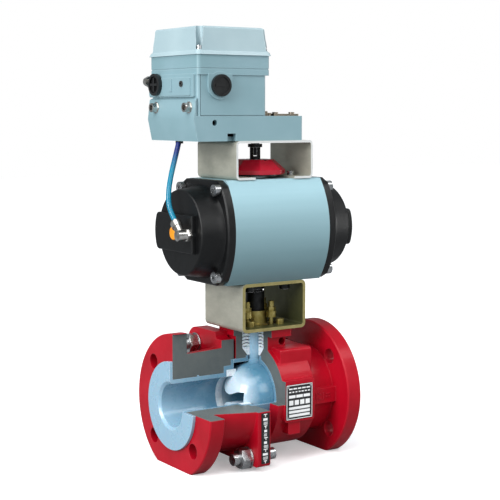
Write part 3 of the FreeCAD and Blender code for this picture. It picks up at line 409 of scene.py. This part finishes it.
def ball_blue():
    look = Look("ball_blue", coat=0.35, subsurface=0.1)
    # Painted light: the ball turns lighter along X towards the port's mouth.
    port_painted_light = look.spread(look.axis("X"), *BALL_MOUTH)
    stem = look.spread(look.axis("Z"), *STEM_FOOT)
    base = look.mix(look.spread(look.noise(22, 3), 0.3, 0.7), colour("477A96"), colour("6190AA"))
    base = look.mix(stem, base, colour("88ABC1"))
    look.base(look.mix(port_painted_light, base, colour("B7C8D3")))
    look.roughness(0.2, 0.32, look.noise(90))
    return look.bump(look.noise(300, 4), 0.00015, 0.25).material


def seal_white():
    look = Look("white_ptfe", subsurface=0.1)
    look.base(look.mix(look.spread(look.noise(300, 5), 0.35, 0.7), colour("EDF2F6"), colour("C9D6DF")))
    look.roughness(0.4, 0.55, look.noise(200))
    return look.bump(look.bands(900, "Z", 1.0), 0.0001, 0.4).material


def yellow_zinc():
    look = Look("yellow_zinc", metallic=0.85)
    tint = look.mix(look.spread(look.noise(90, 6), 0.35, 0.65), colour("8A7832"), colour("BDAF70"))
    look.base(look.mix(look.spread(look.noise(40, 3), 0.55, 0.7, 0.0, 0.5), tint, colour("8F9A5E")))
    look.roughness(0.25, 0.42, look.noise(160))
    return look.bump(look.noise(700, 4), 0.00005, 0.5).material


def metal(name, dark, light, rough=(0.2, 0.35), metallic=1.0):
    look = Look(name, metallic=metallic)
    base = look.mix(look.spread(look.noise(120, 6), 0.35, 0.65), colour(dark), colour(light))
    # Painted highlight: white along every edge.
    look.base(look.mix(look.edges(0.0006, 0.6), base, colour("FFFFFF")))
    streaks = look.noise(60, 5, 0.7, (1, 1, 1))
    look.roughness(rough[0], rough[1], streaks)
    return look.bump(streaks, 0.0001, 0.3).material


def bracket_steel():
    look = Look("bracket_steel", metallic=0.45)
    grain = look.noise(26, 7, 0.7, (1.0, 1.0, 2.2))
    base = look.mix(look.spread(grain, 0.3, 0.7), colour("A2A295"), colour("BDBCAE"))
    base = look.mix(look.spread(look.noise(9, 3), 0.5, 0.75, 0.0, 0.4), base, colour("959B8C"))
    side = look.spread(look.planes()["Y"], *SQUARE_ON)
    high = look.above(look.axis("Z"), UPPER_BRACKET_Z)
    plated = look.mix(look.noise(180, 6), colour("7C7242"), colour("AAA06C"))
    # Faces square to Y: yellow plating on the lower bracket, and a painted highlight, near white, on the upper
    # bracket.
    rim = look.mix(high, plated, colour("DADCDB"))
    # Painted shade: the lower bracket is a dark olive on its inside.
    inside = look.both(look.maths("SUBTRACT", 1.0, high), look.inner(*LOWER_BRACKET_INSIDE))
    base = look.mix(inside, base, look.mix(look.noise(30, 3), colour("3A3E28"), colour("5B5B33")))
    look.base(look.mix(side, base, rim))
    look.roughness(0.38, 0.55, look.noise(90))
    return look.bump(look.noise(500, 6), 0.00006, 0.5).material


def barrel_aluminium():
    look = Look("barrel_aluminium", metallic=0.5)
    drawn = look.noise(14, 6, 0.65, (0.12, 1.0, 6.0))
    base = look.mix(look.spread(drawn, 0.3, 0.7), colour("98BBC5"), colour("9FC1CB"))
    low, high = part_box("barrel")
    # Painted shade: the barrel darkens towards its underside.
    base = look.mix(look.spread(look.axis("Z"), low.z, high.z, BARREL_SHADE, 0.0), base, colour("5E8084"))
    # Painted highlight: a paler line along every edge.
    look.base(look.mix(look.edges(0.0008, 0.5), base, colour("C4D6DC")))
    look.roughness(0.5, 0.56, drawn)
    return look.bump(look.noise(420, 4), 0.00003, 0.4).material


def cap_black():
    look = Look("cap_black", specular=0.3)
    # Painted highlight: a grey line along every edge.
    look.base(look.mix(look.edges(0.0012, 0.55), colour("08090A"), colour("1C1F22")))
    look.roughness(0.34, 0.48, look.noise(120))
    return look.bump(look.noise(650, 5), 0.00012, 0.55).material


def moulded(name, dark, light, rough=(0.35, 0.5), coat=0.0):
    look = Look(name, coat=coat)
    look.base(look.mix(look.spread(look.noise(40, 3), 0.35, 0.65), colour(dark), colour(light)))
    look.roughness(rough[0], rough[1], look.noise(120))
    return look.bump(look.noise(800, 4), 0.00006, 0.5).material


def die_cast_paint(name, dark, light, edge):
    look = Look(name, coat=0.12, coat_roughness=0.3)
    base = look.mix(look.spread(look.noise(12, 3), 0.35, 0.65), colour(dark), colour(light))
    # Painted highlight: the lighter edge colour along every edge.
    look.base(look.mix(look.edges(0.0012, 0.7), base, colour(edge)))
    look.roughness(0.4, 0.52, look.noise(90))
    return look.bump(look.noise(420, 5), 0.00012, 0.4).material


def tube_blue():
    look = Look("tube_blue", coat=0.1, specular=0.35)
    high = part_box("air_tube")[1]
    # Painted shade: the tube darkens from teal to a deep blue near its top.
    height = look.spread(look.axis("Z"), high.z - TUBE_PAINTED_SHADE_SPAN[0], high.z - TUBE_PAINTED_SHADE_SPAN[1])
    look.base(look.mix(height, colour("047491"), colour("1B2A6A")))
    look.roughness(0.18, 0.3, look.noise(150))
    return look.bump(look.noise(500, 3), 0.00005, 0.3).material


LOOKS = {
    "red_paint": red_paint(),
    "liner_blue": liner_blue(),
    "ball_blue": ball_blue(),
    "white_ptfe": seal_white(),
    "yellow_zinc": yellow_zinc(),
    "bright_steel": metal("bright_steel", "9A9C9E", "C9CBCC"),
    "plate_metal": moulded("plate_metal", "121314", "1C1D1F", (0.3, 0.4)),
    "label_film": moulded("label_film", "101112", "1B1C1E", (0.3, 0.4)),
    "bracket_steel": bracket_steel(),
    "black_steel": metal("black_steel", "141516", "2C2D2E", (0.3, 0.45), 0.7),
    "barrel_aluminium": barrel_aluminium(),
    "cap_black": cap_black(),
    "black_rubber": moulded("black_rubber", "0D0D0E", "161617", (0.6, 0.75)),
    "pinion_steel": metal("pinion_steel", "8A8C8E", "B4B6B8"),
    "bush_plastic": moulded("bush_plastic", "BDB7A4", "CFC9B8"),
    "piston_aluminium": metal("piston_aluminium", "A6A8AB", "C4C6C8", (0.3, 0.45)),
    "spring_steel": metal("spring_steel", "55585C", "7A7D80"),
    "orange_plastic": moulded("orange_plastic", "E08A06", "EE9C10", (0.3, 0.4), 0.2),
    "nickel_brass": metal("nickel_brass", "A8A49E", "E2E0DC", (0.12, 0.26)),
    "blue_tube": tube_blue(),
    "red_plastic": moulded("red_plastic", "A00522", "B30828", (0.3, 0.4), 0.25),
    "black_plastic": moulded("black_plastic", "08090A", "101113", (0.3, 0.42), 0.05),
    "positioner_paint": die_cast_paint("positioner_paint", "76979F", "809FA8", "9AB6BD"),
    "lid_paint": die_cast_paint("lid_paint", "97AEB5", "A2B8BE", "BBCBD0"),
    "board_green": moulded("board_green", "0E5A2A", "177038"),
    "clamp_metal": metal("clamp_metal", "877C6D", "978B7B", (0.35, 0.5)),
}
WHITE_PRINT = moulded("white_print", "DDE0E0", "EEF0F0", (0.4, 0.5))


# The width of the rounding on each node's sharp edges, in mm.
BEVELS = {"positioner_base": 0.7, "positioner_housing": 0.5, "positioner_lid": 0.5, "cap_left": 0.6,
          "cap_right": 0.6, "barrel": 0.3, "position_indicator": 0.5, "joint_nuts": 0.3, "tube_nut": 0.25,
          "elbow_fitting": 0.25, "cap_screws": 0.25, "blank_plug": 0.4, "cable_gland": 0.4, "tail_liner": 0.4,
          "body_liner": 0.3, "ball_and_stem": 0.3}
BEVEL_STEPS = 2
SHARP = math.radians(32)
WELD_REACH = 0.00001


def finish_cad_nodes():
    for name, obj in NODES.items():
        if obj.material_slots:
            for place in obj.material_slots:
                place.material = LOOKS[SLOT_OF[name]]
        else:
            obj.data.materials.append(LOOKS[SLOT_OF[name]])
    for name, width in BEVELS.items():
        round_edges(NODES[name], width)


def round_edges(obj, width):
    weld = obj.modifiers.new("weld", "WELD")
    weld.merge_threshold = WELD_REACH
    bevel = obj.modifiers.new("round", "BEVEL")
    bevel.width = width * MM
    bevel.segments = BEVEL_STEPS
    bevel.limit_method = "ANGLE"
    bevel.angle_limit = SHARP
    bevel.use_clamp_overlap = True
    obj.modifiers.new("even", "WEIGHTED_NORMAL")
    for face in obj.data.polygons:
        face.use_smooth = True


# ------------------------------------------------------------------ pieces

def add_piece(name, mesh, material, body):
    piece = bpy.data.objects.new(name, mesh)
    bpy.context.scene.collection.objects.link(piece)
    mesh.materials.append(material)
    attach(piece, body)
    return piece


def raised_blocks(name, rectangles, front, thickness, material):
    """Thin raised blocks on a face towards -Y. Each rectangle is low x, low z, high x, high z in mm."""
    shape = bmesh.new()
    for x0, z0, x1, z1 in rectangles:
        place = Vector(((x0 + x1) / 2 * MM, front - thickness / 2, (z0 + z1) / 2 * MM))
        made = bmesh.ops.create_cube(shape, size=1, matrix=Matrix.Translation(place) @ Matrix.Diagonal(
            ((x1 - x0) * MM, thickness, (z1 - z0) * MM, 1)))
        edges = {e for v in made["verts"] for e in v.link_edges}
        bmesh.ops.bevel(shape, geom=list(edges), offset=thickness * 0.3, segments=1, affect="EDGES")
    mesh = bpy.data.meshes.new(name)
    shape.to_mesh(mesh)
    shape.free()
    return add_piece(name, mesh, material, "housing")


PLATE_EDGE = 0.3
PLATE_RIM = 0.8
PLATE_MARGIN = 3.0
PLATE_GAP = 0.5
PLATE_INK = 0.00012
# Each row of blocks on the name plate: its height above the plate's foot, how tall it is, in mm, and how many.
PLATE_ROWS = [(36.2, 1.6, 5), (32.4, 1.4, 7), (27.0, 3.4, 3), (19.8, 5.6, 4), (13.4, 3.0, 1), (9.0, 3.0, 1),
              (4.6, 3.0, 1)]


def make_name_plate_print():
    """A white rim and plain blocks where a name plate has its fields."""
    low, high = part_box("name_plate")
    x0, x1 = low.x / MM, high.x / MM
    z0, z1 = low.z / MM, high.z / MM
    inner = PLATE_EDGE + PLATE_RIM
    blocks = [(x0 + PLATE_EDGE, z1 - inner, x1 - PLATE_EDGE, z1 - PLATE_EDGE),
              (x0 + PLATE_EDGE, z0 + PLATE_EDGE, x1 - PLATE_EDGE, z0 + inner),
              (x0 + PLATE_EDGE, z0 + PLATE_RIM, x0 + inner, z1 - PLATE_RIM),
              (x1 - inner, z0 + PLATE_RIM, x1 - PLATE_EDGE, z1 - PLATE_RIM)]
    draw = random.Random(4)
    left = x0 + PLATE_MARGIN
    for up, tall, cells in PLATE_ROWS:
        wide = (x1 - x0 - 2 * PLATE_MARGIN) / cells
        for k in range(cells):
            gap = PLATE_GAP + draw.random() * PLATE_GAP
            blocks.append((left + k * wide + gap, z0 + up - tall / 2,
                           left + (k + 1) * wide - gap, z0 + up + tall / 2))
    raised_blocks("name_plate_print", blocks, low.y, PLATE_INK, WHITE_PRINT)


LABEL_ROWS = 13
LABEL_TOP = 0.8
LABEL_INK = 0.0001


def make_label_print():
    """Plain marks down the label strip: a T shape, a block and three lines, by turns."""
    low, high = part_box("label_strip")
    x0, x1 = low.x / MM, high.x / MM
    z1 = high.z / MM
    step = (high.z - low.z) / MM / LABEL_ROWS
    blocks = []
    draw = random.Random(7)
    for k in range(LABEL_ROWS):
        top = z1 - k * step - LABEL_TOP
        half = (3.6 + 3.2 * draw.random()) / 2
        middle = (x0 + x1) / 2 + (draw.random() - 0.5)
        kind = k % 3
        if kind == 0:
            blocks.append((middle - half, top - 1.0, middle + half, top))
            blocks.append((middle - 0.5, top - 3.4, middle + 0.5, top - 1))
        elif kind == 1:
            blocks.append((middle - half, top - 3.2, middle + half, top - 0.4))
        else:
            blocks += [(middle - half, top - 0.9 - n, middle + half, top - 0.3 - n) for n in (0, 1.2, 2.4)]
    raised_blocks("label_print", blocks, low.y, LABEL_INK, WHITE_PRINT)


RIB_FRONT = -0.058
CAST_HEIGHT = 0.0008
CAST_BARS = [(44, -3, 45.4, 5), (47.5, -3, 48.9, 5), (51, -3, 55, -1.7), (51, 3.6, 55, 5), (58, -3, 59.4, 5),
             (62, -1, 68, 0.4), (62, 2.2, 68, 3.6)]


def make_cast_marks():
    """Generic raised bars on the rib beside the plate, where a foundry casts its marks."""
    raised_blocks("cast_marks", CAST_BARS, RIB_FRONT, CAST_HEIGHT, LOOKS["red_paint"])


STUD_REACH = 0.0575
STUD_PLACES = ((STUD_REACH, STUD_REACH), (STUD_REACH, -STUD_REACH), (-STUD_REACH, -STUD_REACH))
THREAD_OUT = 0.0002
THREAD_END = 0.0077
THREAD_RADIUS = 0.00705
THREAD_PITCH = 0.0016
THREAD_ROOT = 0.93
THREAD_SIDES = 28


def thread_mesh(name, spans, radius, pitch):
    """Thread ridges as a stack of sharp rings round each span, a pair of points on the thread's axis."""
    shape = bmesh.new()
    for start, end in spans:
        way = (end - start).normalized()
        side = way.orthogonal().normalized()
        other = way.cross(side)
        turns = int((end - start).length / pitch)
        rings = []
        for k in range(2 * turns + 1):
            r = radius * (1.0 if k % 2 else THREAD_ROOT)
            centre = start + way * (k * pitch / 2)
            rings.append([shape.verts.new(centre + (side * math.cos(2 * math.pi * n / THREAD_SIDES) +
                                                    other * math.sin(2 * math.pi * n / THREAD_SIDES)) * r)
                          for n in range(THREAD_SIDES)])
        for a, b in zip(rings, rings[1:]):
            for n in range(THREAD_SIDES):
                after = (n + 1) % THREAD_SIDES
                shape.faces.new((a[n], a[after], b[after], b[n]))
        shape.faces.new(rings[-1])
        shape.faces.new(list(reversed(rings[0])))
    mesh = bpy.data.meshes.new(name)
    shape.to_mesh(mesh)
    shape.free()
    return mesh


def make_stud_threads():
    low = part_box("joint_studs")[0]
    spans = [(Vector((low.x - THREAD_OUT, y, z)), Vector((low.x + THREAD_END, y, z)))
             for y, z in STUD_PLACES]
    mesh = thread_mesh("stud_threads", spans, THREAD_RADIUS, THREAD_PITCH)
    add_piece("stud_threads", mesh, LOOKS["bright_steel"], "housing")


ELBOW = Vector((-0.1175, -0.030, 0.1984))
ELBOW_TILT = math.radians(45)
ELBOW_WAY = Vector((0, math.sin(ELBOW_TILT), math.cos(ELBOW_TILT)))
TUBE_ROUTE = [ELBOW + ELBOW_WAY * 0.010, ELBOW + ELBOW_WAY * 0.025, (-0.1205, -0.0063, 0.2305),
              (-0.1183, -0.0030, 0.2480), (-0.1122, 0.0010, 0.2660), (-0.1045, 0.0050, 0.2845),
              (-0.0965, 0.0098, 0.3030)]
TUBE_DIAMETER = 0.006


def make_air_tube():
    data = bpy.data.curves.new("air_tube_line", "CURVE")
    data.dimensions = "3D"
    data.bevel_depth = TUBE_DIAMETER / 2
    data.bevel_resolution = 6
    data.resolution_u = 16
    data.use_fill_caps = True
    spline = data.splines.new("NURBS")
    spline.points.add(len(TUBE_ROUTE) - 1)
    for point, place in zip(spline.points, TUBE_ROUTE):
        point.co = (*place, 1)
    spline.order_u = 3
    spline.use_endpoint_u = True
    tube = bpy.data.objects.new("air_tube_line", data)
    bpy.context.scene.collection.objects.link(tube)
    data.materials.append(LOOKS["blue_tube"])
    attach(tube, "housing")
    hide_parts("air_tube")


make_camera()
make_air_tube()
make_floor()
make_world()
make_lights()
finish_cad_nodes()
make_name_plate_print()
make_label_print()
make_cast_marks()
make_stud_threads()
